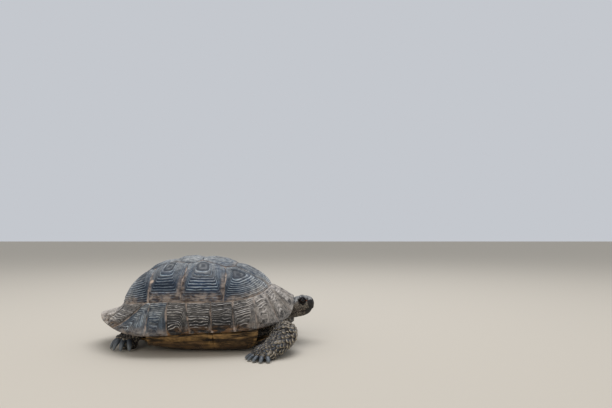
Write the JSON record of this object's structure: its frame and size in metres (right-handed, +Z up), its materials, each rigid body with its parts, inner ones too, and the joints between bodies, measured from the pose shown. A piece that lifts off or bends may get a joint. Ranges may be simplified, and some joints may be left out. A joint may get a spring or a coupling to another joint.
{
  "type": "tortoise",
  "caption": "Life-size spur-thighed tortoise standing on four feet with its head out, its domed shell divided into named scutes.",
  "frame": {"origin": "middle of the whole model's box, on the floor that it stands on", "axes": "+X towards the head, +Y towards the animal's left, +Z up"},
  "size_m": [0.2386, 0.1908, 0.0972],
  "materials": {
    "carapace_horn": "blue-black horn with pale dusty growth ridges",
    "plastron_horn": "brown and ochre horn, worn",
    "skin": "dry scaly hide, grey-brown",
    "claw_horn": "blue-grey horn, lightly polished",
    "eye": "wet, dark brown"
  },
  "bodies": {
    "root": {"abdominal_left": "plastron_horn", "abdominal_right": "plastron_horn", "anal_left": "plastron_horn", "anal_right": "plastron_horn", "costal_left_1": "carapace_horn", "costal_left_2": "carapace_horn", "costal_left_3": "carapace_horn", "costal_left_4": "carapace_horn", "costal_right_1": "carapace_horn", "costal_right_2": "carapace_horn", "costal_right_3": "carapace_horn", "costal_right_4": "carapace_horn", "eye_left": "eye", "eye_right": "eye", "femoral_left": "plastron_horn", "femoral_right": "plastron_horn", "foreleg_left": "skin", "foreleg_right": "skin", "gular_left": "plastron_horn", "gular_right": "plastron_horn", "head": "skin", "hindleg_left": "skin", "hindleg_right": "skin", "humeral_left": "plastron_horn", "humeral_right": "plastron_horn", "marginal_left_1": "carapace_horn", "marginal_left_10": "carapace_horn", "marginal_left_11": "carapace_horn", "marginal_left_2": "carapace_horn", "marginal_left_3": "carapace_horn", "marginal_left_4": "carapace_horn", "marginal_left_5": "carapace_horn", "marginal_left_6": "carapace_horn", "marginal_left_7": "carapace_horn", "marginal_left_8": "carapace_horn", "marginal_left_9": "carapace_horn", "marginal_right_1": "carapace_horn", "marginal_right_10": "carapace_horn", "marginal_right_11": "carapace_horn", "marginal_right_2": "carapace_horn", "marginal_right_3": "carapace_horn", "marginal_right_4": "carapace_horn", "marginal_right_5": "carapace_horn", "marginal_right_6": "carapace_horn", "marginal_right_7": "carapace_horn", "marginal_right_8": "carapace_horn", "marginal_right_9": "carapace_horn", "neck": "skin", "nuchal": "carapace_horn", "pectoral_left": "plastron_horn", "pectoral_right": "plastron_horn", "supracaudal": "carapace_horn", "tail": "skin", "trunk": "skin", "vertebral_1": "carapace_horn", "vertebral_2": "carapace_horn", "vertebral_3": "carapace_horn", "vertebral_4": "carapace_horn", "vertebral_5": "carapace_horn"}
  },
  "joints": []
}
